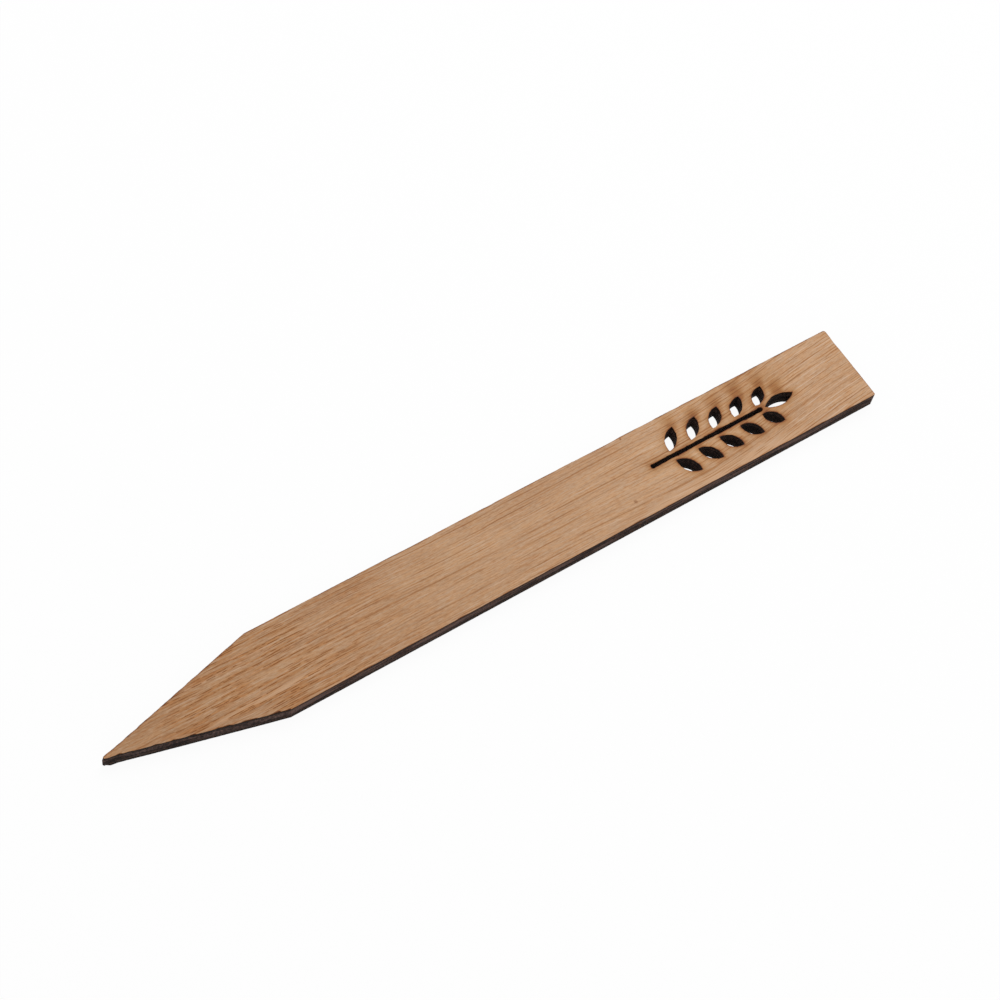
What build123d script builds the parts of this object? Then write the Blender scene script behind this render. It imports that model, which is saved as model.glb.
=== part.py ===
# Plant label stake: a flat pointed stake, laser cut from oak-veneered fibreboard, that lies on its back face.
# X runs along the stake from the point to the square head, Y across it, and Z up through its layers.
# The origin is under the middle of the stake, on the plane that it lies on.
import os

from build123d import *

# Outline of the blade, in millimetres
overall_length = 173.6  # blunt point to square head
blade_width = 18.0
point_length = 34.6  # blunt point to the shoulders
point_radius = 0.3  # the point is blunt by this much
head_corner_radius = 0.3

# Layers of the board, in millimetres
veneer_thickness = 0.6
glue_thickness = 0.1
core_thickness = 2.6

# Sprig that is cut through the head, in millimetres and degrees
sprig_from_head = 15.0  # tip of the end leaf to the square head
leaf_pairs = 5
leaf_pitch = 5.4  # from one pair to the next along the stem
low_leaf_length = 5.6
high_leaf_length = 4.8
end_leaf_length = 7.0
leaf_width = 2.5
low_leaf_angle = 52.0  # between a leaf and the stem
high_leaf_angle = 44.0
stem_width = 0.8
stem_tail_length = 5.4  # bare stem below the lowest pair
bridge = 0.8  # board left between the stem and a leaf

# Places along the blade that follow from the sizes above
tip_x = -overall_length / 2
head_x = overall_length / 2
shoulder_x = tip_x + point_length
shank_length = head_x - shoulder_x
end_leaf_x = head_x - sprig_from_head - end_leaf_length
stem_end_x = end_leaf_x - bridge
high_pair_x = stem_end_x - bridge
low_pair_x = high_pair_x - (leaf_pairs - 1) * leaf_pitch
stem_start_x = low_pair_x - stem_tail_length
leaf_base_y = stem_width / 2 + bridge


def between(low, high, step):
    """Value for one leaf pair: low at the first pair, high at the last."""
    return low + (high - low) * step / max(leaf_pairs - 1, 1)


# Blade outline: the tight wrap of the blunt point and the straight shank
with BuildSketch() as outline:
    with Locations((tip_x + point_radius, 0)):
        Circle(point_radius)
    with Locations((shoulder_x + shank_length / 2, 0)):
        Rectangle(shank_length, blade_width)
    make_hull()
    fillet(outline.vertices().group_by(Axis.X)[-1], radius=head_corner_radius)


def leaf(length):
    """One leaf along X with its base at the origin: two arcs that meet in points."""
    with BuildSketch() as blade:
        with BuildLine():
            SagittaArc((0, 0), (length, 0), leaf_width / 2)
            SagittaArc((length, 0), (0, 0), leaf_width / 2)
        make_face()
    return blade.sketch


# Sprig: a stem slot, leaves in pairs along it and one leaf past its end
with BuildSketch() as sprig:
    with Locations(((stem_start_x + stem_end_x) / 2, 0)):
        SlotOverall(stem_end_x - stem_start_x, stem_width)
    for pair in range(leaf_pairs):
        pair_x = low_pair_x + pair * leaf_pitch
        pair_length = between(low_leaf_length, high_leaf_length, pair)
        pair_angle = between(low_leaf_angle, high_leaf_angle, pair)
        for side in (1, -1):
            with Locations((pair_x, side * leaf_base_y)):
                add(leaf(pair_length), rotation=side * pair_angle)
    with Locations((end_leaf_x, 0)):
        add(leaf(end_leaf_length))

# Layers from the back up, all cut to the same outline in one pass of the laser
layers = [
    ("back_veneer", veneer_thickness),
    ("back_glue_line", glue_thickness),
    ("core_board", core_thickness),
    ("front_glue_line", glue_thickness),
    ("front_veneer", veneer_thickness),
]

os.makedirs("parts", exist_ok=True)
layer_z = 0.0
for layer_name, layer_thickness in layers:
    with BuildPart() as layer:
        with BuildSketch(Plane.XY.offset(layer_z)):
            add(outline.sketch)
            add(sprig.sketch, mode=Mode.SUBTRACT)
        extrude(amount=layer_thickness)
    layer.part.label = layer_name
    export_step(layer.part, f"parts/{layer_name}.step")
    layer_z += layer_thickness
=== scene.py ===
# Looks of a plant label stake: its five laser-cut layers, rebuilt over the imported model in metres.
# X runs along the stake to its square head, Y across it, and Z up out of the front face.
import math

import bpy
import numpy as np
from mathutils import Matrix, Vector
from mathutils.geometry import delaunay_2d_cdt
from mathutils.kdtree import KDTree


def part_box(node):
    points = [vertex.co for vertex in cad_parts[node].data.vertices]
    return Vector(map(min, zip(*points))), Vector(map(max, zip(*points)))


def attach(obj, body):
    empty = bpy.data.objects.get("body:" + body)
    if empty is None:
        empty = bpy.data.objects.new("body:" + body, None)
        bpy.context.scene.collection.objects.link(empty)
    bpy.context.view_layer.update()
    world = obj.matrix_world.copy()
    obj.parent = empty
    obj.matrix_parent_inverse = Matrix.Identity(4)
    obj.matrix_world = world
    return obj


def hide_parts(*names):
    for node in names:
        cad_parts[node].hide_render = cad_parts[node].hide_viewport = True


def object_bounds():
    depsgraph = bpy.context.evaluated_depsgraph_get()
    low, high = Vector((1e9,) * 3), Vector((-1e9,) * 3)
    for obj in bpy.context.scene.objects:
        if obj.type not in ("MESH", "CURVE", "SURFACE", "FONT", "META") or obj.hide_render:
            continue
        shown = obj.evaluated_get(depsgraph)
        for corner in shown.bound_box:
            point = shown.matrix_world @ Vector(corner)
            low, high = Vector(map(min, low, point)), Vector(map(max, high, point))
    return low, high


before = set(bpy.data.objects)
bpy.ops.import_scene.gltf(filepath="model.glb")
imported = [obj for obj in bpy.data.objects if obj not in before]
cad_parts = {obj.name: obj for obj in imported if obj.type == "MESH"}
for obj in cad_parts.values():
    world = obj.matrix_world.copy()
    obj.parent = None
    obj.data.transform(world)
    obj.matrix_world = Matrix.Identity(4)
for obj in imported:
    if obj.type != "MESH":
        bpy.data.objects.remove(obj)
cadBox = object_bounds()
mm = 0.001  # cuts and patterns are worked out in millimetres, and meshes are made in metres
stakeLow, stakeHigh = (np.array(corner) / mm for corner in cadBox)
stakeLength, stakeWidth, stakeThickness = stakeHigh - stakeLow
print("frame loaded:", ", ".join(sorted(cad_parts)))


def linearColour(code):  # sRGB hex to the linear colour that a shader takes
    parts = [int(code[i:i + 2], 16) / 255 for i in (1, 3, 5)]
    return tuple(p / 12.92 if p <= 0.04045 else ((p + 0.055) / 1.055) ** 2.4 for p in parts) + (1.0,)


def newMaterial(name):
    material = bpy.data.materials.new(name)
    material.use_nodes = True
    material.node_tree.nodes.clear()
    return material


def addNode(tree, kind, inputs, **settings):  # a socket as an input is linked, anything else is set
    node = tree.nodes.new("ShaderNode" + kind)
    for name, value in settings.items():
        setattr(node, name, value)
    for socket, value in inputs.items():
        if isinstance(value, bpy.types.NodeSocket):
            tree.links.new(value, node.inputs[socket])
        else:
            node.inputs[socket].default_value = value
    return node


# Oak, rift cut, sliced to veneer and sanded bare: thin brown growth lines that come and go along the stake,
# browner bands of early wood with short dark pores towards the point, fine fibre, no gloss.
# Sizes are in mm along and across the grain, and ranges are parts of a noise that runs from 0 to 1.
frontOak = {
    "name": "sanded rift-cut oak veneer",
    "wood": "#be9572", "pale": "#cba37f", "lightWood": "#d5b89f", "poreWood": "#7c4610", "char": "#25170f",
    # stains, which the wood's colour is multiplied by
    "lineStain": "#d0ad71", "band": "#f2d3a0", "fibreDark": "#cfa251", "brown": "#cebda4", "toast": "#c2924a",
    "offset": (0.0, 0.0, 0.0),  # moves the pattern, so that the two veneers differ
    "slope": 0.012,  # the grain leaves the stake's axis by this much
    "drift": 1.4, "driftSize": (80, 30, 1),  # slow bend of the grain, then two quicker ones
    "wobble": 0.16, "wobbleSize": (11, 4, 1),
    "jog": 0.05, "jogSize": (3.5, 1.2, 1),
    "rise": 6.0, "riseFrom": 40.0, "riseTo": 100.0,  # the grain climbs across the head
    # lines between strips: mean gap, width, size of the stretches where they show, how far they show
    "line": {"gap": 1.75, "width": 0.26, "fade": (13, 0.9, 1), "shown": (0.40, 0.62), "most": 0.75},
    "fine": {"gap": 0.60, "width": 0.16, "fade": (6, 0.5, 1), "shown": (0.42, 0.60), "most": 0.86},
    "light": {"gap": 0.95, "width": 0.20, "fade": (9, 0.6, 1), "shown": (0.46, 0.62), "most": 0.58},
    "pore": {"gap": 0.40, "width": 0.165, "fade": (1.8, 0.30, 1), "shown": (0.44, 0.53), "most": 1.0},
    "apart": 17.3,  # strips from one kind of line to the next, so that they don't run together
    "uneven": 0.9,  # how much the strips differ in width, from 0 to 1
    "lineEdge": (0.4, 1.5),  # shares of its half width where a line starts to fade and where it is gone
    "fineFrom": 20.0, "fineTo": 60.0, "fineLeast": 0.52,  # x: fine lines are plainer towards the head
    "lineFrom": 88.0, "lineTo": 62.0, "lineLeast": 0.5,  # x: and the wider lines fainter
    "poreBand": (11, 0.60, 1), "bandRange": (0.44, 0.60), "bandMix": 0.72,
    "crowd": 0.85,  # share of the pores that keeps to the bands
    "poreStart": -8.0, "poreFull": -52.0, "poreLeast": 0.05,  # x: pores and bands set in towards the point
    "tipCalm": -69.0, "tipBare": -80.0, "tipLeast": 0.12,  # x: and thin out again near the tip
    "lineAmongPores": 0.4,  # share of the wider lines that is left where the pores are full
    "tone": (42, 5, 1), "toneRange": (0.3, 0.72),  # from wood to pale
    "brownStart": 45.0, "brownFull": -70.0, "brownMix": 0.56,  # x: browner to the point: part wood tone, part painted shade
    "fibre": (1.1, 0.22, 1), "fibreMix": 0.30,  # real fibre is about 0.02 mm wide: drawn coarser, to show
    "strand": (9, 0.32, 1), "strandMix": 0.14,
    # a tint of both, the noise where it sets in and where it is full, and how it is mixed in
    "fibreTints": (("fibreDark", 0.50, 0.28, "MULTIPLY"), ("lightWood", 0.54, 0.86, "MIX")),
    "hue": (3.0, 0.40, 1), "hueRange": (0.38, 0.62),  # fibres of one tone differ in hue
    "greyLean": "#f8fcff", "orangeLean": "#fffbf2",
    # x, y, half length, half width, tint and strength of a pale streak or a pin knot
    "patches": ((-53.0, -4.6, 20.0, 0.8, "pale", 0.60), (50.0, -8.2, 28.0, 1.6, "pale", 0.60),
                (29.0, -5.0, 0.55, 0.65, "poreWood", 0.60), (34.3, 8.5, 0.3, 0.35, "poreWood", 0.8)),
    "patchDepth": 50,  # half depth: they go right through
    "frayed": 0.9, "patchEdge": (0.75, 1.45),  # how far the fibre frays them, where they fade and end
    "strandRange": (0.3, 0.7), "strandHeat": (0.65, 1.2),  # strands take up less or more of the heat
    "smoke": "#bc935c",  # a stain, taken to the power of how thick the smoke lies
    "smokeRange": (0.02, 0.9), "smokeMost": 0.84,  # smoke from where it shows to where it is thickest
    # tint of the rim, the scorch where it sets in and where it is full, its most, and how it is mixed in
    "burns": (("toast", 0.12, 0.6, 0.9, "MULTIPLY"), ("char", 0.55, 0.95, 0.92, "MIX")),
    "relief": 0.03, "poreSunk": 0.8, "lineSunk": 0.4,  # height of the fibre in mm, and shares of it
    "rough": (0.55, 0.75), "ior": 1.53, "specular": 0.3,
}
backOak = frontOak | {
    "name": "sanded rift-cut oak backing veneer",
    "offset": (310.0, 57.0, 0.0),
    "slope": -0.02,
    "poreStart": 60.0, "poreFull": -20.0,
    "patches": ((30.0, 2.6, 24.0, 1.0, "pale", 0.5), (-12.0, 3.2, 0.4, 0.5, "poreWood", 0.8)),
}


def grainPlace(tree, look):  # mm along the stake, and across it after the grain's bends
    inMetres = addNode(tree, "TexCoord", {}).outputs["Object"]
    bare = addNode(tree, "VectorMath", {0: inMetres, "Scale": 1 / mm}, operation="SCALE").outputs[0]
    place = addNode(tree, "VectorMath", {0: bare, 1: look["offset"]}, operation="ADD").outputs[0]
    split = addNode(tree, "SeparateXYZ", {0: place}).outputs
    alongStake = addNode(tree, "SeparateXYZ", {0: bare}).outputs["X"]
    across = addNode(tree, "Math", {0: split["X"], 1: look["slope"], 2: split["Y"]},
                     operation="MULTIPLY_ADD").outputs[0]
    climb = addNode(tree, "MapRange", {"Value": alongStake, "From Min": look["riseFrom"],
                                       "From Max": look["riseTo"], "To Max": look["rise"]},
                    interpolation_type="SMOOTHSTEP").outputs[0]
    across = addNode(tree, "Math", {0: across, 1: climb}, operation="SUBTRACT").outputs[0]
    for size, amount in (("driftSize", "drift"), ("wobbleSize", "wobble"), ("jogSize", "jog")):
        cell = addNode(tree, "VectorMath", {0: place, 1: look[size]}, operation="DIVIDE").outputs[0]
        bend = addNode(tree, "TexNoise", {"Vector": cell, "Scale": 1, "Detail": 1},
                       noise_dimensions="2D").outputs[0]
        bend = addNode(tree, "Math", {0: bend, 1: 0.5}, operation="SUBTRACT").outputs[0]  # to both sides
        across = addNode(tree, "Math", {0: bend, 1: 2 * look[amount], 2: across},
                         operation="MULTIPLY_ADD").outputs[0]
    grain = addNode(tree, "CombineXYZ", {"X": split["X"], "Y": across}).outputs[0]
    return bare, alongStake, across, grain


def growthLines(tree, look, across, grain):  # borders of uneven strips, which come and go along them
    lines = {}
    for i, kind in enumerate(("line", "fine", "light", "pore")):
        part = look[kind]
        strip = addNode(tree, "Math", {0: across, 1: 1 / part["gap"], 2: look["apart"] * i},
                        operation="MULTIPLY_ADD").outputs[0]
        border = addNode(tree, "TexVoronoi", {"W": strip, "Scale": 1, "Randomness": look["uneven"]},
                         voronoi_dimensions="1D", feature="DISTANCE_TO_EDGE").outputs["Distance"]
        halfLine = part["width"] / 2 / part["gap"]
        full, gone = (share * halfLine for share in look["lineEdge"])
        line = addNode(tree, "MapRange", {"Value": border, "From Min": full, "From Max": gone, "To Min": 1,
                                          "To Max": 0}, interpolation_type="SMOOTHSTEP").outputs[0]
        cell = addNode(tree, "VectorMath", {0: grain, 1: part["fade"]}, operation="DIVIDE").outputs[0]
        fade = addNode(tree, "TexNoise", {"Vector": cell, "Scale": 1, "Detail": 1},
                       noise_dimensions="2D").outputs[0]
        low, high = part["shown"]
        shown = addNode(tree, "MapRange", {"Value": fade, "From Min": low, "From Max": high,
                                           "To Max": part["most"]},
                        interpolation_type="SMOOTHSTEP").outputs[0]
        lines[kind] = addNode(tree, "Math", {0: line, 1: shown}, operation="MULTIPLY").outputs[0]
    return lines


def alongShare(tree, alongStake, start, full, least):  # least at the start, 1 where it is full
    atLow, atHigh = (least, 1) if start < full else (1, least)
    return addNode(tree, "MapRange", {"Value": alongStake, "From Min": min(start, full),
                                      "From Max": max(start, full), "To Min": atLow, "To Max": atHigh},
                   interpolation_type="SMOOTHSTEP").outputs[0]


def makeOak(look):
    material = newMaterial(look["name"])
    tree = material.node_tree
    bare, alongStake, across, grain = grainPlace(tree, look)
    noise = {}
    for name, detail in (("fibre", 1), ("strand", 2), ("tone", 2), ("poreBand", 1), ("hue", 1)):
        cell = addNode(tree, "VectorMath", {0: grain, 1: look[name]}, operation="DIVIDE").outputs[0]
        noise[name] = addNode(tree, "TexNoise", {"Vector": cell, "Scale": 1, "Detail": detail},
                              noise_dimensions="2D").outputs[0]
    lines = growthLines(tree, look, across, grain)

    # Browner bands of early wood with the pores crowded in them, all towards the point
    porous = alongShare(tree, alongStake, look["poreStart"], look["poreFull"], look["poreLeast"])
    calm = alongShare(tree, alongStake, look["tipBare"], look["tipCalm"], look["tipLeast"])
    porous = addNode(tree, "Math", {0: porous, 1: calm}, operation="MULTIPLY").outputs[0]
    low, high = look["bandRange"]
    band = addNode(tree, "MapRange", {"Value": noise["poreBand"], "From Min": low, "From Max": high},
                   interpolation_type="SMOOTHSTEP").outputs[0]
    crowd = addNode(tree, "Math", {0: band, 1: look["crowd"], 2: 1 - look["crowd"]},
                    operation="MULTIPLY_ADD").outputs[0]
    pore = addNode(tree, "Math", {0: lines["pore"], 1: crowd}, operation="MULTIPLY").outputs[0]
    band, pore = (addNode(tree, "Math", {0: part, 1: porous}, operation="MULTIPLY").outputs[0]
                  for part in (band, pore))
    band = addNode(tree, "Math", {0: band, 1: look["bandMix"]}, operation="MULTIPLY").outputs[0]
    plain = addNode(tree, "MapRange", {"Value": porous, "To Min": 1,
                                       "To Max": look["lineAmongPores"]}).outputs[0]
    line = addNode(tree, "Math", {0: lines["line"], 1: plain}, operation="MULTIPLY").outputs[0]
    offHead = alongShare(tree, alongStake, look["lineFrom"], look["lineTo"], look["lineLeast"])
    line = addNode(tree, "Math", {0: line, 1: offHead}, operation="MULTIPLY").outputs[0]
    towardsHead = alongShare(tree, alongStake, look["fineFrom"], look["fineTo"], look["fineLeast"])
    fine, light = (addNode(tree, "Math", {0: lines[kind], 1: towardsHead}, operation="MULTIPLY").outputs[0]
                   for kind in ("fine", "light"))

    # Wood and paler wood, browner towards the point: partly the wood's own tone, partly painted shade
    low, high = look["toneRange"]
    tone = addNode(tree, "MapRange", {"Value": noise["tone"], "From Min": low, "From Max": high}).outputs[0]
    colour = addNode(tree, "Mix", {0: tone, 6: linearColour(look["wood"]), 7: linearColour(look["pale"])},
                     data_type="RGBA").outputs[2]
    amount = addNode(tree, "MapRange", {"Value": alongStake, "From Min": look["brownFull"],
                                        "From Max": look["brownStart"], "To Min": look["brownMix"],
                                        "To Max": 0}).outputs[0]
    washes = [(amount, look["brown"], "MULTIPLY")]  # each over the last: amount, colour, how it is mixed in

    # Fibre and strands: browner where the noise is low, paler where it is high
    for name in ("strand", "fibre"):
        for tint, none, full, how in look["fibreTints"]:
            amount = addNode(tree, "MapRange", {"Value": noise[name], "From Min": none, "From Max": full,
                                                "To Max": look[name + "Mix"]}).outputs[0]
            washes.append((amount, look[tint], how))

    # Some fibres lean to orange, others to grey
    low, high = look["hueRange"]
    amount = addNode(tree, "MapRange", {"Value": noise["hue"], "From Min": low, "From Max": high}).outputs[0]
    lean = addNode(tree, "Mix", {0: amount, 6: linearColour(look["greyLean"]),
                                 7: linearColour(look["orangeLean"])}, data_type="RGBA").outputs[2]
    washes.append((1, lean, "MULTIPLY"))

    # Pale streaks and pin knots, ragged along the fibre
    low, high = look["patchEdge"]
    for x, y, halfLength, halfWidth, tint, most in look["patches"]:
        away = addNode(tree, "VectorMath", {0: bare, 1: (x, y, stakeHigh[2])},
                       operation="SUBTRACT").outputs[0]
        away = addNode(tree, "VectorMath", {0: away, 1: (halfLength, halfWidth, look["patchDepth"])},
                       operation="DIVIDE").outputs[0]
        away = addNode(tree, "VectorMath", {0: away}, operation="LENGTH").outputs["Value"]
        away = addNode(tree, "Math", {0: noise["fibre"], 1: look["frayed"], 2: away},
                       operation="MULTIPLY_ADD").outputs[0]
        amount = addNode(tree, "MapRange", {"Value": away, "From Min": low, "From Max": high, "To Min": most,
                                            "To Max": 0}, interpolation_type="SMOOTHSTEP").outputs[0]
        washes.append((amount, look[tint], "MIX"))

    # Bands, lines and pores, each by its own amount
    washes += [(band, look["band"], "MULTIPLY"), (light, look["lightWood"], "MIX"),
               (line, look["lineStain"], "MULTIPLY"), (fine, look["lineStain"], "MULTIPLY"),
               (pore, look["poreWood"], "MIX")]

    # Heat: smoke that drifted off the cuts, then the toasted and charred rim
    scorch = addNode(tree, "Attribute", {}, attribute_name="scorch").outputs["Fac"]
    smoke = addNode(tree, "Attribute", {}, attribute_name="smoke").outputs["Fac"]
    (low, high), (less, more) = look["strandRange"], look["strandHeat"]
    takenUp = addNode(tree, "MapRange", {"Value": noise["strand"], "From Min": low, "From Max": high,
                                         "To Min": less, "To Max": more}).outputs[0]
    amount = addNode(tree, "Math", {0: smoke, 1: takenUp}, operation="MULTIPLY").outputs[0]
    low, high = look["smokeRange"]
    amount = addNode(tree, "MapRange", {"Value": amount, "From Min": low, "From Max": high,
                                        "To Max": look["smokeMost"]}).outputs[0]
    veil = addNode(tree, "VectorMath", {0: linearColour(look["smoke"])[:3], 1: amount},
                   operation="POWER").outputs[0]
    washes.append((1, veil, "MULTIPLY"))
    burnt = addNode(tree, "Math", {0: scorch, 1: takenUp}, operation="MULTIPLY").outputs[0]
    for tint, none, full, most, how in look["burns"]:
        amount = addNode(tree, "MapRange", {"Value": burnt, "From Min": none, "From Max": full,
                                            "To Max": most}).outputs[0]
        washes.append((amount, look[tint], how))
    for amount, wash, how in washes:
        wash = linearColour(wash) if isinstance(wash, str) else wash
        colour = addNode(tree, "Mix", {0: amount, 6: colour, 7: wash},
                         data_type="RGBA", blend_type=how).outputs[2]

    # Relief: pores and lines are sunk, fibre stands a little proud
    height = addNode(tree, "Math", {0: pore, 1: -look["poreSunk"], 2: noise["fibre"]},
                     operation="MULTIPLY_ADD").outputs[0]
    height = addNode(tree, "Math", {0: line, 1: -look["lineSunk"], 2: height},
                     operation="MULTIPLY_ADD").outputs[0]
    bump = addNode(tree, "Bump", {"Strength": 1, "Distance": look["relief"] * mm,
                                  "Height": height}).outputs[0]
    low, high = look["rough"]
    rough = addNode(tree, "MapRange", {"Value": noise["fibre"], "To Min": low, "To Max": high}).outputs[0]
    shader = addNode(tree, "BsdfPrincipled", {"Base Color": colour, "Roughness": rough, "IOR": look["ior"],
                                              "Specular IOR Level": look["specular"], "Normal": bump})
    addNode(tree, "OutputMaterial", {"Surface": shader.outputs[0]})
    return material


# Charred edges: the beam leaves brown-black carbon, streaked upright by the pulses and clouded along the cut,
# with specks that it only toasted. Oak burns browner and darker than fibreboard, glue almost black, and
# gritty soot blackens the point, and soot with painted shade blackens the narrow cut-outs.
# Sizes are in mm along the cut and down it, and foot and crown multiply painted shade in low and high on the
# cut.
charredOak = {"name": "laser-charred oak edge", "dark": "#100a07", "light": "#2a1b14", "speck": "#8a562c",
              "streak": (0.28, 0.28, 2.2), "cloud": (9, 9, 0.5), "specks": 0.3,
              "foot": "#c09a80", "crown": "#ffffff", "sootAndShade": 0.5, "grit": 0.2,
              "rough": (0.6, 0.85), "relief": 0.02}
charredBoard = {"name": "laser-charred fibreboard edge", "dark": "#231816", "light": "#64514c",
                "speck": "#84583a", "streak": (0.5, 0.5, 1.1), "cloud": (11, 11, 0.9), "specks": 0.5,
                "foot": "#aaa5a2", "crown": "#d2ccc8", "sootAndShade": 0.35, "grit": 0.5,
                "rough": (0.75, 0.95), "relief": 0.02}
charredGlue = {"name": "charred urea glue film", "dark": "#120d0b", "light": "#2b211e", "speck": "#2b211e",
               "streak": (0.4, 0.4, 1.0), "cloud": (9, 9, 0.5), "specks": 0.0,
               "foot": "#ffffff", "crown": "#ffffff", "sootAndShade": 0.4, "grit": 0.2,
               "rough": (0.35, 0.6), "relief": 0.005}
# Fibreboard as pressed and sanded: pale brown felted fibre, hidden under the veneers
pressedBoard = {"name": "sanded fibreboard", "dark": "#8a6b4b", "light": "#b39670", "speck": "#b39670",
                "streak": (0.5, 0.5, 0.5), "cloud": (6, 6, 6), "specks": 0.0,
                "foot": "#ffffff", "crown": "#ffffff", "sootAndShade": 0.0, "grit": 0.0,
                "rough": (0.8, 0.95), "relief": 0.01}
# What these four share: sizes and heights in mm, ranges of noise
charring = {
    "cloudWeight": 3, "toneRange": (1.70, 2.30),  # clouds against streaks, dark to light
    "speckSize": (0.4, 0.4, 0.3), "speckRange": (0.60, 0.68),
    "shade": {"foot": (2.2, 0.7), "crown": (2.7, 3.3)},  # heights, from none to all of that painted shade
    # just under the front face the oak is only toasted, unless the rim is charred: heights, and scorch
    "toast": "#b06c3c", "toastHeights": (3.80, 3.98), "toastMost": 0.85, "toastHeat": (0.3, 0.8),
    "gritRange": (0.3, 0.7),  # the soot's grit follows the streaks
    "ior": 1.5, "specular": 0.1,
}


def makeStreaked(look):
    material = newMaterial(look["name"])
    tree = material.node_tree
    inMetres = addNode(tree, "TexCoord", {}).outputs["Object"]
    place = addNode(tree, "VectorMath", {0: inMetres, "Scale": 1 / mm}, operation="SCALE").outputs[0]
    noise = {}
    for name, size, detail in (("streak", look["streak"], 4), ("cloud", look["cloud"], 3),
                               ("speck", charring["speckSize"], 1)):
        cell = addNode(tree, "VectorMath", {0: place, 1: size}, operation="DIVIDE").outputs[0]
        noise[name] = addNode(tree, "TexNoise", {"Vector": cell, "Scale": 1, "Detail": detail}).outputs[0]
    both = addNode(tree, "Math", {0: noise["cloud"], 1: charring["cloudWeight"], 2: noise["streak"]},
                   operation="MULTIPLY_ADD").outputs[0]
    low, high = charring["toneRange"]
    amount = addNode(tree, "MapRange", {"Value": both, "From Min": low, "From Max": high}).outputs[0]
    colour = addNode(tree, "Mix", {0: amount, 6: linearColour(look["dark"]), 7: linearColour(look["light"])},
                     data_type="RGBA").outputs[2]
    low, high = charring["speckRange"]
    amount = addNode(tree, "MapRange", {"Value": noise["speck"], "From Min": low, "From Max": high,
                                        "To Max": look["specks"]}).outputs[0]
    washes = [(amount, look["speck"], "MIX")]  # each over the last: amount, colour, how it is mixed in

    # Painted shade low and high on the cut, then the toasted line under the front face
    height = addNode(tree, "SeparateXYZ", {0: place}).outputs["Z"]
    for end, (none, full) in charring["shade"].items():
        amount = addNode(tree, "MapRange", {"Value": height, "From Min": none, "From Max": full}).outputs[0]
        washes.append((amount, look[end], "MULTIPLY"))
    scorch = addNode(tree, "Attribute", {}, attribute_name="scorch").outputs["Fac"]
    low, high = charring["toastHeat"]
    most = addNode(tree, "MapRange", {"Value": scorch, "From Min": low, "From Max": high,
                                      "To Min": charring["toastMost"], "To Max": 0}).outputs[0]
    none, full = charring["toastHeights"]
    amount = addNode(tree, "MapRange", {"Value": height, "From Min": none, "From Max": full,
                                        "To Max": most}).outputs[0]
    washes.append((amount, charring["toast"], "MIX"))

    # Gritty soot over all of it; in the cut-outs this darkening is also painted shade
    sootAndShade = addNode(tree, "Attribute", {}, attribute_name="sootAndShade").outputs["Fac"]
    low, high = charring["gritRange"]
    cast = addNode(tree, "MapRange", {"Value": noise["streak"], "From Min": low, "From Max": high,
                                      "To Min": -look["sootAndShade"] - look["grit"],
                                      "To Max": -look["sootAndShade"] + look["grit"]}).outputs[0]
    clean = addNode(tree, "Math", {0: sootAndShade, 1: cast, 2: 1}, operation="MULTIPLY_ADD").outputs[0]
    washes.append((1, clean, "MULTIPLY"))
    for amount, wash, how in washes:
        wash = linearColour(wash) if isinstance(wash, str) else wash
        colour = addNode(tree, "Mix", {0: amount, 6: colour, 7: wash},
                         data_type="RGBA", blend_type=how).outputs[2]
    low, high = look["rough"]
    rough = addNode(tree, "MapRange", {"Value": noise["streak"], "To Min": low, "To Max": high}).outputs[0]
    bump = addNode(tree, "Bump", {"Strength": 1, "Distance": look["relief"] * mm,
                                  "Height": noise["streak"]}).outputs[0]
    shader = addNode(tree, "BsdfPrincipled", {"Base Color": colour, "Roughness": rough, "Normal": bump,
                                              "IOR": charring["ior"],
                                              "Specular IOR Level": charring["specular"]})
    addNode(tree, "OutputMaterial", {"Surface": shader.outputs[0]})
    return material


frontFace, backFace = makeOak(frontOak), makeOak(backOak)
oakEdge, boardEdge, glueFilm, boardFace = (makeStreaked(look) for look in (charredOak, charredBoard,
                                                                           charredGlue, pressedBoard))
print("materials made:", len(bpy.data.materials))

# The cuts, in mm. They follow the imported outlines, and the burn eats into the board.
laserCut = {
    "level": 0.001,  # faces this near to the top of a packed plate are its front face
    "pitch": 0.15,  # between points along a cut
    "cornerTurn": 25,  # degrees: sharper turns stay corners
    "pointLean": 0.1,  # sides that lean more than this are the point's
    "seedStep": 10,  # from the random draws of one cut to those of the next
    "ripple": 0.02, "rippleGap": 0.45,  # upright striations
    "drag": 0.4,  # which trail by this much at the back face
    "roughness": 0.01,  # fine unevenness of the walls
    "bite": 0.05, "biteGap": 5.0,  # slower burn where the beam lingered, less towards the back face
    "pointBite": 0.09, "pointBiteGap": 1.7,  # rougher where the cut crosses the grain at the point
    "leafBite": 0.08, "leafBiteGap": 0.55,  # and round the small cut-outs
    "nick": 0.12, "nickGap": 3.5,  # charred chips along the front edge
    "pointNick": 0.14, "pointNickGap": 1.7,
    "farShare": 0.45,  # of the point's bites and chips, on its far side
    "calm": 0.6,  # share of a cut that bites and chips leave alone
    "start": 0.22, "startReach": (4.2, 2.1, 1.7),  # chip where the beam went in, from the near shoulder
    "thinTip": 0.18, "thinReach": 29.0,  # the tapered sides are burnt thinner towards the tip
    "undercut": 0.045, "undercutReach": (5.0, 8.5),  # their foot more so, fading this far behind the tip
    "roundCorner": 0.155, "roundReach": 0.6,  # the far corner of the head is burnt rounder
    "cornerRadius": 0.3, "crisp": 0.8,  # the near one gets back this share of what its radius takes off
    # heat of the rims, from 0 to 1 and more
    "heatGap": 2.5, "sprigHeat": 0.7, "pointHeat": 0.85,
    "endHeat": 0.55, "sideHeat": 0.5,  # at the head's end, this much less on the near side, more on the far
    "ember": 1.8, "emberGap": 0.9, "emberLeast": 0.68, "emberEdge": 0.08,  # charred spots on the point's rim
    "chipHeat": 2.8,  # chars the rim of a chip, for each mm of its depth
}
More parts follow.
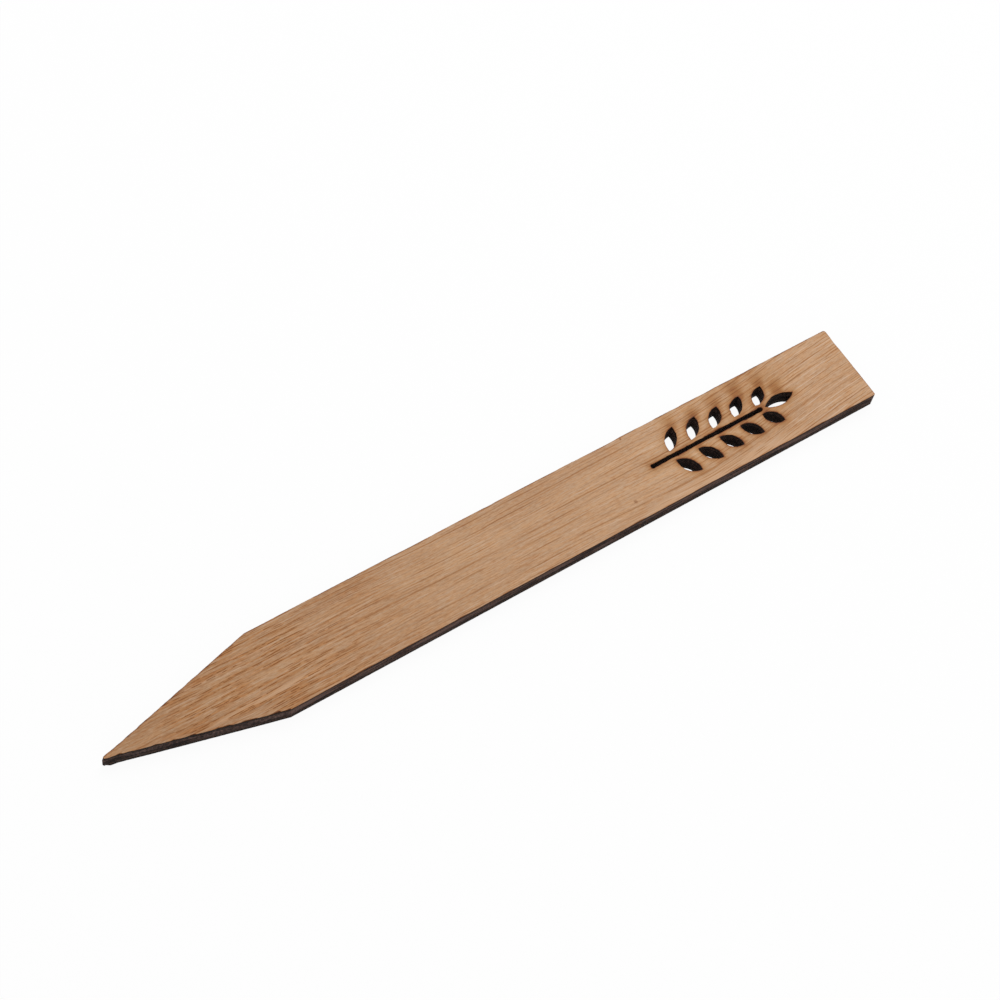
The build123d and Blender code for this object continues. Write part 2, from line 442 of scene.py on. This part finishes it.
# The blunt tip, in mm: the front face is burnt back there, over a charred bead whose foot is burnt aside.
nose = {
    "eaten": 0.27, "slant": 1.4, "reach": 1.3, "bead": 0.37,
    "aside": 0.55, "asideReach": 1.2, "asideHeight": 3.0,
    "smooth": 2.0, "bare": 0.5,  # bites and chips set in over this length, after a bare share of it
    "thinLeast": 0.2,  # share of the thinning that is left on the tip itself
}


def wander(along, total, gap, seed):  # smooth ups and downs from 0 to 1 that close round a cut
    knots = np.random.default_rng(seed).random(max(4, round(total / gap)))
    at = along / total * len(knots)
    low = np.floor(at).astype(int)
    ease = (at - low) ** 2 * (3 - 2 * (at - low))
    return knots[low % len(knots)] * (1 - ease) + knots[(low + 1) % len(knots)] * ease


def plateLoops(node):  # closed outlines of a packed plate's front face, with the board on their left
    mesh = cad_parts[node].data
    places = [tuple(round(c / mm, 4) for c in v.co) for v in mesh.vertices]
    top = max(p[2] for p in places)
    edges = set()
    for face in mesh.polygons:
        corners = [places[i] for i in face.vertices]
        if min(c[2] for c in corners) > top - laserCut["level"]:
            edges |= set(zip(corners, corners[1:] + corners[:1]))
    after = dict(sorted((a, b) for a, b in edges if (b, a) not in edges))
    loops = []
    while after:
        loop = [next(iter(after))]
        while loop[-1] in after:
            loop.append(after.pop(loop[-1]))
        loops.append(np.array(loop[:-1])[:, :2])
    return sorted(loops, key=lambda points: (-np.ptp(points[:, 0]).round(2), *points.mean(0).round(2)))


def evenPoints(loop):  # points at an even pitch round a loop, with its sharp corners kept
    step = np.roll(loop, -1, axis=0) - loop
    heading = np.degrees(np.arctan2(step[:, 1], step[:, 0]))
    turn = np.abs((heading - np.roll(heading, 1) + 180) % 360 - 180)
    corners = np.flatnonzero(turn > laserCut["cornerTurn"])
    loop = np.roll(loop, -(corners[0] if len(corners) else 0), axis=0)
    corners = [*(corners - corners[0]), len(loop)] if len(corners) else [0, len(loop)]
    closed = np.vstack([loop, loop[:1]])
    points = []
    for first, last in zip(corners, corners[1:]):
        run = closed[first:last + 1]
        along = np.concatenate([[0], np.cumsum(np.linalg.norm(np.diff(run, axis=0), axis=1))])
        count = max(2, round(along[-1] / laserCut["pitch"]))
        at = np.linspace(0, along[-1], count, endpoint=False)
        points.append(np.stack([np.interp(at, along, run[:, axis]) for axis in (0, 1)], axis=1))
    return np.vstack(points)


def burntCut(loop, seed, isOuter):
    points = evenPoints(loop)
    ahead = np.roll(points, -1, axis=0) - np.roll(points, 1, axis=0)
    inward = np.stack([-ahead[:, 1], ahead[:, 0]], axis=1)
    inward /= np.linalg.norm(inward, axis=1)[:, None]
    gaps = np.linalg.norm(np.roll(points, -1, axis=0) - points, axis=1)
    along = np.concatenate([[0], np.cumsum(gaps)[:-1]])
    total = gaps.sum()
    rough = {}
    for i, size in enumerate(("bite", "pointBite", "leafBite", "nick", "pointNick")):
        more = np.maximum(wander(along, total, laserCut[size + "Gap"], seed + i) - laserCut["calm"], 0)
        rough[size] = laserCut[size] * more / (1 - laserCut["calm"])
    burn = laserCut["ripple"] * wander(along, total, laserCut["rippleGap"], seed + 5)
    heat = wander(along, total, laserCut["heatGap"], seed + 6)
    ember = wander(along, total, laserCut["emberGap"], seed + 7) - laserCut["emberLeast"]
    ember = np.clip(ember / laserCut["emberEdge"], 0, 1)

    onPoint = (points[:, 0] < 0) & (np.abs(inward[:, 0]) > laserCut["pointLean"])  # tapered sides and tip
    fromTip = points[:, 0] - stakeLow[0]
    blunt = np.clip(fromTip / nose["smooth"] - nose["bare"], 0, 1)  # no bites in the small arc of the tip
    ragged = np.where(inward[:, 1] > 0, 1, laserCut["farShare"]) * blunt
    sides = onPoint * np.minimum(1, nose["thinLeast"] + blunt)
    thin = laserCut["thinTip"] * np.clip(1 - fromTip / laserCut["thinReach"], 0, 1) * sides
    undercut = np.interp(fromTip, laserCut["undercutReach"], (laserCut["undercut"], 0)) * sides
    heat = np.maximum(heat, laserCut["ember"] * ember * onPoint)
    start = np.zeros(len(points))
    if isOuter:
        places = points[onPoint, 0].max() - np.array(laserCut["startReach"])
        start = np.interp(points[:, 0], places, (0, laserCut["start"], 0)) * (inward[:, 1] > 0)
        fromFar = np.linalg.norm(points - stakeHigh[:2], axis=1)
        thin = thin + np.interp(fromFar, (0, laserCut["roundReach"]), (laserCut["roundCorner"], 0))
        fromNear = np.linalg.norm(points - (stakeHigh[0], stakeLow[1]), axis=1)
        beyond = laserCut["cornerRadius"] * (1 / np.abs(inward).max(axis=1) - 1)
        thin = thin - laserCut["crisp"] * beyond * (fromNear < laserCut["cornerRadius"])
    bite = np.where(onPoint, ragged * rough["pointBite"], rough["bite" if isOuter else "leafBite"])
    nick = np.where(onPoint, np.maximum(ragged * rough["pointNick"], start), rough["nick"])
    return {"points": points, "inward": inward, "onPoint": onPoint, "along": along, "gaps": gaps,
            "total": total, "burn": burn, "thin": thin, "undercut": undercut, "bite": bite, "nick": nick,
            "heat": heat, "chipHeat": laserCut["chipHeat"] * nick * isOuter}


# The first cut is the stake's outline, and the others are the sprig's cut-outs
cuts = [burntCut(loop, laserCut["seedStep"] * i, i == 0) for i, loop in enumerate(plateLoops("front_veneer"))]
rimInward, rimHeat, rimGaps, rimChipHeat, rimOnPoint = (
    np.concatenate([cut[part] for cut in cuts]) for part in ("inward", "heat", "gaps", "chipHeat", "onPoint"))
rimCounts = [len(cut["points"]) for cut in cuts]
rimFirsts = np.concatenate([[0], np.cumsum(rimCounts)])
rimIds = np.arange(rimFirsts[-1])
rimAfter = np.concatenate([np.roll(rimIds[a:b], -1) for a, b in zip(rimFirsts, rimFirsts[1:])])
rimAlong = np.concatenate([[0], np.cumsum(rimGaps)[:-1]])
rimInSprig = rimIds >= rimCounts[0]
rimOnPoint = rimOnPoint & ~rimInSprig
heatBySide = np.clip(laserCut["endHeat"] - laserCut["sideHeat"] * rimInward[:, 1], 0, 1)
rimHeat = rimHeat * np.where(rimInSprig, laserCut["sprigHeat"], heatBySide)
rimHeat = np.where(rimOnPoint, laserCut["pointHeat"] * rimHeat, rimHeat)
rimHeat = np.maximum(rimHeat, rimChipHeat)
print("cuts read:", len(cuts), "outlines,", len(rimIds), "points")


def shapeNose(ring, z):
    high = np.clip(1 - (stakeHigh[2] - z) / nose["slant"], 0, 1)
    foot = np.clip(1 - (z - stakeLow[2]) / nose["asideHeight"], 0, 1)
    aside = nose["aside"] * foot
    fromTip = ring[:, 0] - stakeLow[0]
    ring[:, 1] += aside * np.clip(1 - fromTip / nose["asideReach"], 0, 1)
    centre = np.array([stakeLow[0] + nose["bead"], aside * (1 - nose["bead"] / nose["asideReach"])])
    grow = np.maximum(nose["bead"] / np.linalg.norm(ring - centre, axis=1), 1)
    ring = centre + (ring - centre) * (1 + (1 - high) * (grow - 1))[:, None]
    ring[:, 0] += nose["eaten"] * high * np.clip(1 - fromTip / nose["reach"], 0, 1)
    return ring


def ringsAt(z, extra, chips, rough):  # every cut at one height, burnt back by extra and by its own marks
    rings = []
    share = (z - stakeLow[2]) / stakeThickness
    lag = laserCut["drag"] * (1 - share)
    for cut in cuts:
        depth = np.interp(cut["along"] - lag, cut["along"], cut["burn"], period=cut["total"])
        depth = depth + extra + share * cut["bite"] + chips * cut["nick"] + cut["thin"]
        depth = depth + (1 - share) * cut["undercut"]
        depth += rough.random(len(depth)) * laserCut["roughness"]
        rings.append(cut["points"] + cut["inward"] * depth[:, None])
    rings[0] = shapeNose(rings[0], z)
    return rings


def rimSearch(rings):
    points = np.vstack(rings)
    tree = KDTree(len(points))
    for i, (x, y) in enumerate(points):
        tree.insert((x, y, 0), i)
    tree.balance()
    return points, tree


def nearestRim(points, rim):  # distance to the nearest cut, below 0 off the board, and that rim point
    found = np.array([rim[1].find((x, y, 0))[1] for x, y in points])
    apart = points - rim[0][found]
    inside = (apart * rimInward[found]).sum(1) >= 0
    return np.where(inside, 1, -1) * np.linalg.norm(apart, axis=1), found


# Points on a showing face: close rows along each cut to hold the toasted rim, a fine grid round the sprig
# for the smoke, and a wide grid elsewhere. In mm.
facePoints = {
    # distance from the cut, and every so many of its points
    "rows": ((0.07, 1), (0.16, 2), (0.30, 2), (0.50, 3), (0.8, 5), (1.2, 8)),
    "clearRow": 0.85,  # a point that is nearer to another cut than this share of its distance is left out
    "wideGrid": (2.4, 1.5), "wideClear": 1.6,  # spacing, and how far it stays from the cuts
    "fineGrid": (0.4, 0.4), "fineClear": 0.4, "around": 3.6,
}


def innerPoints(rings, rim):
    found = []
    for offset, every in facePoints["rows"]:
        row = np.vstack([(ring + cut["inward"] * offset)[::every] for ring, cut in zip(rings, cuts)])
        found.append(row[nearestRim(row, rim)[0] > facePoints["clearRow"] * offset])
    sprig = np.vstack([cut["points"] for cut in cuts[1:]])
    low, high = sprig.min(0) - facePoints["around"], sprig.max(0) + facePoints["around"]
    for kind in ("wide", "fine"):
        gap = facePoints[kind + "Grid"]
        axes = [np.arange(stakeLow[a] + gap[a] / 2, stakeHigh[a], gap[a]) for a in (0, 1)]
        grid = np.stack(np.meshgrid(*axes), axis=-1).reshape(-1, 2)
        near = ((grid > low) & (grid < high)).all(1)
        grid = grid[near == (kind == "fine")]
        found.append(grid[nearestRim(grid, rim)[0] > facePoints[kind + "Clear"]])
    return np.vstack(found)


# Scorch fades from the rims, deeper and further where they are hotter. Smoke was drawn off across the
# stake: a plume from the far end of each cut-out, stronger towards the head, and a thin halo round them all.
# Sizes are in mm.
rimScorch = {"least": 0.25, "byHeat": 1.5, "reach": 0.05, "reachByHeat": 0.16}
smokeDrift = {
    # direction of the plumes, their length down it and against it, their half width and how that grows
    "wind": (0.12, 1.0), "reach": (1.6, 2.8), "back": 1.4, "width": 0.78, "fan": 0.25,
    "strength": (0.8, 1.95), "change": (0.7, 1.1), "seed": 7,  # plumes differ by this much
    "halo": 0.95, "haloReach": 0.7, "haloLeast": 0.3,
}


def faceHeat(points, rim):
    apart, nearest = nearestRim(points, rim)
    apart = np.maximum(apart, 0)
    heat = rimHeat[nearest]
    scorch = np.minimum(1, rimScorch["least"] + rimScorch["byHeat"] * heat)
    scorch = scorch * np.exp(-apart / (rimScorch["reach"] + rimScorch["reachByHeat"] * heat))
    halo = smokeDrift["halo"] * np.exp(-apart / smokeDrift["haloReach"]) * rimInSprig[nearest]
    smoke = halo * (smokeDrift["haloLeast"] + heat)
    wind = np.array(smokeDrift["wind"]) / np.linalg.norm(smokeDrift["wind"])
    tips = np.array([cut["points"][(cut["points"] @ wind).argmax()] for cut in cuts[1:]])
    draw = np.random.default_rng(smokeDrift["seed"])
    for tip in tips:
        reach = draw.uniform(*smokeDrift["reach"])
        strength = np.interp(tip[0], (tips[:, 0].min(), tips[:, 0].max()), smokeDrift["strength"])
        strength *= draw.uniform(*smokeDrift["change"])
        down = (points - tip) @ wind
        beside = (points - tip) @ np.array([wind[1], -wind[0]])
        spread = smokeDrift["width"] + smokeDrift["fan"] * np.maximum(down, 0)
        fade = np.exp(-np.maximum(down, 0) / reach - np.maximum(-down, 0) / smokeDrift["back"])
        smoke = np.maximum(smoke, strength * fade * np.exp(-(beside / spread) ** 2 / 2))
    return scorch, np.minimum(smoke, 1)


def capTriangles(rings, inner):  # fills an outline and leaves its holes open
    points = np.vstack([*rings, inner])
    owner = np.repeat([*range(len(rings)), -1], [*map(len, rings), len(inner)])
    edges = np.stack([rimIds, rimAfter], axis=1).tolist()
    insideOnly, closest = 1, 1e-6
    found = delaunay_2d_cdt([Vector(p) for p in points], edges, [], insideOnly, closest)
    first = np.array([source[0] for source in found[3]])
    corners = np.sort(first[np.array(found[2])], axis=1)
    a, b, c = (points[corners[:, i]] for i in range(3))
    turn = (b[:, 0] - a[:, 0]) * (c[:, 1] - a[:, 1]) - (b[:, 1] - a[:, 1]) * (c[:, 0] - a[:, 0])
    sameRing = (owner[corners] == owner[corners[:, :1]]).all(1) & (owner[corners[:, 0]] >= 0)
    keep = ~(sameRing & (turn < 0))  # in ring order, a triangle over a hole turns the other way
    corners[turn < 0] = corners[turn < 0][:, ::-1]
    return points, corners[keep]


# Flat layout of a piece for the export's colour maps, in mm: the wall in rows, a showing face in strips,
# a hidden face shrunk.
bakeSheet = {"strips": 3, "overlap": 3.0, "gap": 0.3}


def sheetPlaces(heights, caps):
    thickness = heights[-1] - heights[0]
    gap = min(bakeSheet["gap"], thickness)
    stripLength = stakeLength / bakeSheet["strips"]
    rowLength = math.sqrt(rimGaps.sum() * (thickness + gap))
    if any(shows for points, triangles, shows in caps):
        rowLength = stripLength + 2 * bakeSheet["overlap"]
    row = np.floor(rimAlong / rowLength)
    left = rimAlong - row * rowLength
    right = left + rimGaps
    foot = row * (thickness + gap) - heights[0]
    corners = []
    for low, high in zip(heights, heights[1:]):
        quad = [np.stack(place, axis=1) for place in ((left, foot + low), (right, foot + low),
                                                      (right, foot + high), (left, foot + high))]
        corners.append(np.stack(quad, axis=1).reshape(-1, 2))
    base = (row.max() + 1) * (thickness + gap)
    for points, triangles, shows in caps:
        places = points[triangles] - stakeLow[:2]
        if shows:
            strip = np.clip(np.floor(places[:, :, 0].mean(1) / stripLength), 0, bakeSheet["strips"] - 1)
            places[:, :, 0] += bakeSheet["overlap"] - strip[:, None] * stripLength
            places[:, :, 1] += base + strip[:, None] * (stakeWidth + gap)
            base += bakeSheet["strips"] * (stakeWidth + gap)
        else:
            places *= rowLength / stakeLength
            places[:, :, 1] += base
            base += stakeWidth * rowLength / stakeLength + gap
        corners.append(places.reshape(-1, 2))
    flat = np.vstack(corners) + gap
    return flat / (flat.max() + gap)


# The five layers. profile: share of the layer's height, how far the wall is burnt back there in mm, and how
# much of the chips shows there. pointSoot blackens the wall at the point.
veneerProfile = ((0, 0.015, 0), (0.2, 0.0, 0), (0.55, 0.0, 0.1), (0.84, 0.0, 0.3), (1, 0.0, 1))
glueProfile = ((0, 0.03, 0), (0.5, 0.05, 0), (1, 0.03, 0))
boardProfile = ((0, 0.03, 0), (0.06, 0.01, 0), (0.2, 0.0, 0), (0.35, 0.01, 0), (0.5, 0.02, 0),
                (0.65, 0.02, 0), (0.8, 0.01, 0), (0.94, 0.01, 0), (1, 0.03, 0))
layers = [
    {"name": "front_veneer_oak", "node": "front_veneer", "slot": "oak_veneer", "shows": "top",
     "profile": veneerProfile, "face": frontFace, "edge": oakEdge, "pointSoot": 1.3},
    {"name": "front_glue_film", "node": "front_glue_line", "slot": "glue", "shows": None,
     "profile": glueProfile, "face": glueFilm, "edge": glueFilm, "pointSoot": 0.0},
    {"name": "core_fibreboard", "node": "core_board", "slot": "fibreboard", "shows": None,
     "profile": boardProfile, "face": boardFace, "edge": boardEdge, "pointSoot": 0.8},
    {"name": "back_glue_film", "node": "back_glue_line", "slot": "glue", "shows": None,
     "profile": glueProfile, "face": glueFilm, "edge": glueFilm, "pointSoot": 0.0},
    {"name": "back_veneer_oak", "node": "back_veneer", "slot": "oak_veneer", "shows": "bottom",
     "profile": [(1 - share, extra, 0) for share, extra, chips in reversed(veneerProfile)],
     "face": backFace, "edge": oakEdge, "pointSoot": 0.9},
]
layerSeed = 100  # of the first layer's roughness, and the next ones follow
creaseAngle = 50  # degrees: sharper turns of a layer's mesh stay crisp


def buildLayer(layer, seed):
    rough = np.random.default_rng(seed)
    low, high = (corner.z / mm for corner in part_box(layer["node"]))
    heights = [low + share * (high - low) for share, extra, chips in layer["profile"]]
    levels = [ringsAt(z, extra, chips, rough) for z, (share, extra, chips) in zip(heights, layer["profile"])]
    count = len(rimIds)
    places = [np.column_stack([np.vstack(rings), np.full(count, z)]) for rings, z in zip(levels, heights)]
    walls = np.vstack([np.stack([k * count + rimIds, k * count + rimAfter, (k + 1) * count + rimAfter,
                                 (k + 1) * count + rimIds], axis=1) for k in range(len(levels) - 1)])
    faces, caps = walls.tolist(), []
    heat = np.zeros((2, count * len(levels)))
    for level, side in ((0, "bottom"), (len(levels) - 1, "top")):
        shows = layer["shows"] == side
        inner = np.empty((0, 2))
        ids = level * count + rimIds
        if shows:
            rim = rimSearch(levels[level])
            inner = innerPoints(levels[level], rim)
            ids = np.concatenate([ids, count * len(levels) + np.arange(len(inner))])
            places.append(np.column_stack([inner, np.full(len(inner), heights[level])]))
            heat = np.hstack([heat, np.zeros((2, len(inner)))])
            heat[:, ids] = faceHeat(np.vstack([*levels[level], inner]), rim)
        points, triangles = capTriangles(levels[level], inner)
        triangles = triangles if side == "top" else triangles[:, ::-1]
        caps.append((points, triangles, shows))
        faces += ids[triangles].tolist()
    mesh = bpy.data.meshes.new(layer["name"])
    mesh.from_pydata((np.vstack(places) * mm).tolist(), [], faces)
    mesh.materials.append(layer["face"])
    mesh.materials.append(layer["edge"])
    mesh.polygons.foreach_set("material_index", np.arange(len(faces)) < len(walls))
    mesh.polygons.foreach_set("use_smooth", np.ones(len(faces), bool))
    mesh.set_sharp_from_angle(angle=math.radians(creaseAngle))
    sootAndShade = np.zeros(len(mesh.vertices))
    # the cut-outs' walls get all of it: soot, with painted shade in those narrow slots
    rimSootAndShade = np.where(rimInSprig, 1, rimOnPoint * layer["pointSoot"])
    sootAndShade[:count * len(levels)] = np.tile(rimSootAndShade, len(levels))
    for name, values in zip(("scorch", "smoke", "sootAndShade"), (*heat, sootAndShade)):
        mesh.attributes.new(name, "FLOAT", "POINT").data.foreach_set("value", values)
    mesh.uv_layers.new(name="OFBake").data.foreach_set("uv", sheetPlaces(heights, caps).ravel())
    piece = bpy.data.objects.new(layer["name"], mesh)
    bpy.context.scene.collection.objects.link(piece)
    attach(piece, "root")
    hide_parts(layer["node"])
    print("layer built:", layer["name"], len(mesh.vertices), "points,", len(mesh.polygons), "faces")


for i, layer in enumerate(layers):
    buildLayer(layer, layerSeed + i)


def seenDirectly(tree):  # 1 for the eye, for reflections and through glass, 0 for other light
    ray = addNode(tree, "LightPath", {}).outputs
    seen = addNode(tree, "Math", {0: ray["Is Camera Ray"], 1: ray["Is Glossy Ray"]},
                   operation="MAXIMUM").outputs[0]
    return addNode(tree, "Math", {0: seen, 1: ray["Is Transmission Ray"]}, operation="MAXIMUM").outputs[0]


# White paper sweep: shows white to the eye and in reflections, and keeps a faint shadow of the stake.
# It is clear from below, and to light that the back face is about to take, so the back can be looked at.
sweep = {"name": "matt white paper sweep", "colour": "#f6f6f6", "shadowShare": 0.06,
         "size": 6.0, "drop": 0.00002, "clearReach": 0.0002}  # metres


def buildSweep():
    half = sweep["size"] / 2
    corners = [(x * half, y * half, -sweep["drop"]) for x, y in ((-1, -1), (1, -1), (1, 1), (-1, 1))]
    mesh = bpy.data.meshes.new("paper_sweep")
    mesh.from_pydata(corners, [], [(0, 1, 2, 3)])
    material = newMaterial(sweep["name"])
    tree = material.node_tree
    paper = addNode(tree, "BsdfDiffuse", {"Color": linearColour(sweep["colour"])}).outputs[0]
    white = addNode(tree, "Emission", {"Strength": 1}).outputs[0]
    amount = addNode(tree, "Math", {0: seenDirectly(tree), 1: 1 - sweep["shadowShare"]},
                     operation="MULTIPLY").outputs[0]
    mixed = addNode(tree, "MixShader", {0: amount, 1: paper, 2: white}).outputs[0]
    below = addNode(tree, "NewGeometry", {}).outputs["Backfacing"]
    rayLength = addNode(tree, "LightPath", {}).outputs["Ray Length"]
    close = addNode(tree, "Math", {0: rayLength, 1: sweep["clearReach"]}, operation="LESS_THAN").outputs[0]
    amount = addNode(tree, "Math", {0: below, 1: close}, operation="MAXIMUM").outputs[0]
    clear = addNode(tree, "BsdfTransparent", {}).outputs[0]
    mixed = addNode(tree, "MixShader", {0: amount, 1: mixed, 2: clear}).outputs[0]
    addNode(tree, "OutputMaterial", {"Surface": mixed})
    mesh.materials.append(material)
    floor = bpy.data.objects.new("paper_sweep", mesh)
    bpy.context.scene.collection.objects.link(floor)


# Soft studio light: an even white room, and a large soft box that makes the head a little brighter
studio = {
    "room": 0.62,
    # metres and watts
    "softBox": {"place": (0.26, 0.20, 0.60), "aim": (0.03, 0.0, 0.0), "size": 0.5, "power": 2.0},
}


def buildStudio():
    world = bpy.data.worlds.new("white room")
    world.use_nodes = True
    tree = world.node_tree
    tree.nodes.clear()
    strength = addNode(tree, "MapRange", {"Value": seenDirectly(tree), "To Min": studio["room"],
                                          "To Max": 1}).outputs[0]
    room = addNode(tree, "Background", {"Strength": strength, "Color": (1, 1, 1, 1)}).outputs[0]
    addNode(tree, "OutputWorld", {"Surface": room})
    bpy.context.scene.world = world
    box = studio["softBox"]
    lamp = bpy.data.lights.new("soft_box", "AREA")
    lamp.shape = "DISK"
    lamp.size = box["size"]
    lamp.energy = box["power"]
    holder = bpy.data.objects.new("soft_box", lamp)
    holder.location = box["place"]
    holder.rotation_euler = (Vector(box["place"]) - Vector(box["aim"])).to_track_quat("Z", "Y").to_euler()
    bpy.context.scene.collection.objects.link(holder)


# Camera as the photograph was taken, from the point's side and above, turned a little about its own axis
view = {
    "lens": 76.2, "sensor": 36.0,  # mm
    "target": (5.573, 8.878, 4.038), "distance": 420.156, "nearest": 10.0,  # mm
    "azimuth": -41.437, "elevation": 61.724, "roll": -10.281,  # degrees
}


def buildCamera():
    azimuth, elevation, roll = (math.radians(view[name]) for name in ("azimuth", "elevation", "roll"))
    back = Vector((math.sin(azimuth) * math.cos(elevation), -math.cos(azimuth) * math.cos(elevation),
                   math.sin(elevation)))
    flatRight = Vector((math.cos(azimuth), math.sin(azimuth), 0))
    right = math.cos(roll) * flatRight + math.sin(roll) * flatRight.cross(back)
    up = back.cross(right)
    pose = Matrix((right, up, back)).transposed().to_4x4()
    pose.translation = (Vector(view["target"]) + back * view["distance"]) * mm
    data = bpy.data.cameras.new("photo_view")
    data.lens = view["lens"]
    data.sensor_width = view["sensor"]
    data.clip_start = view["nearest"] * mm
    camera = bpy.data.objects.new("photo_view", data)
    camera.matrix_world = pose
    bpy.context.scene.collection.objects.link(camera)
    bpy.context.scene.camera = camera


buildSweep()
buildStudio()
buildCamera()
bpy.context.scene.view_settings.view_transform = "Standard"
print("paper, light and camera set")

print("scene finished")
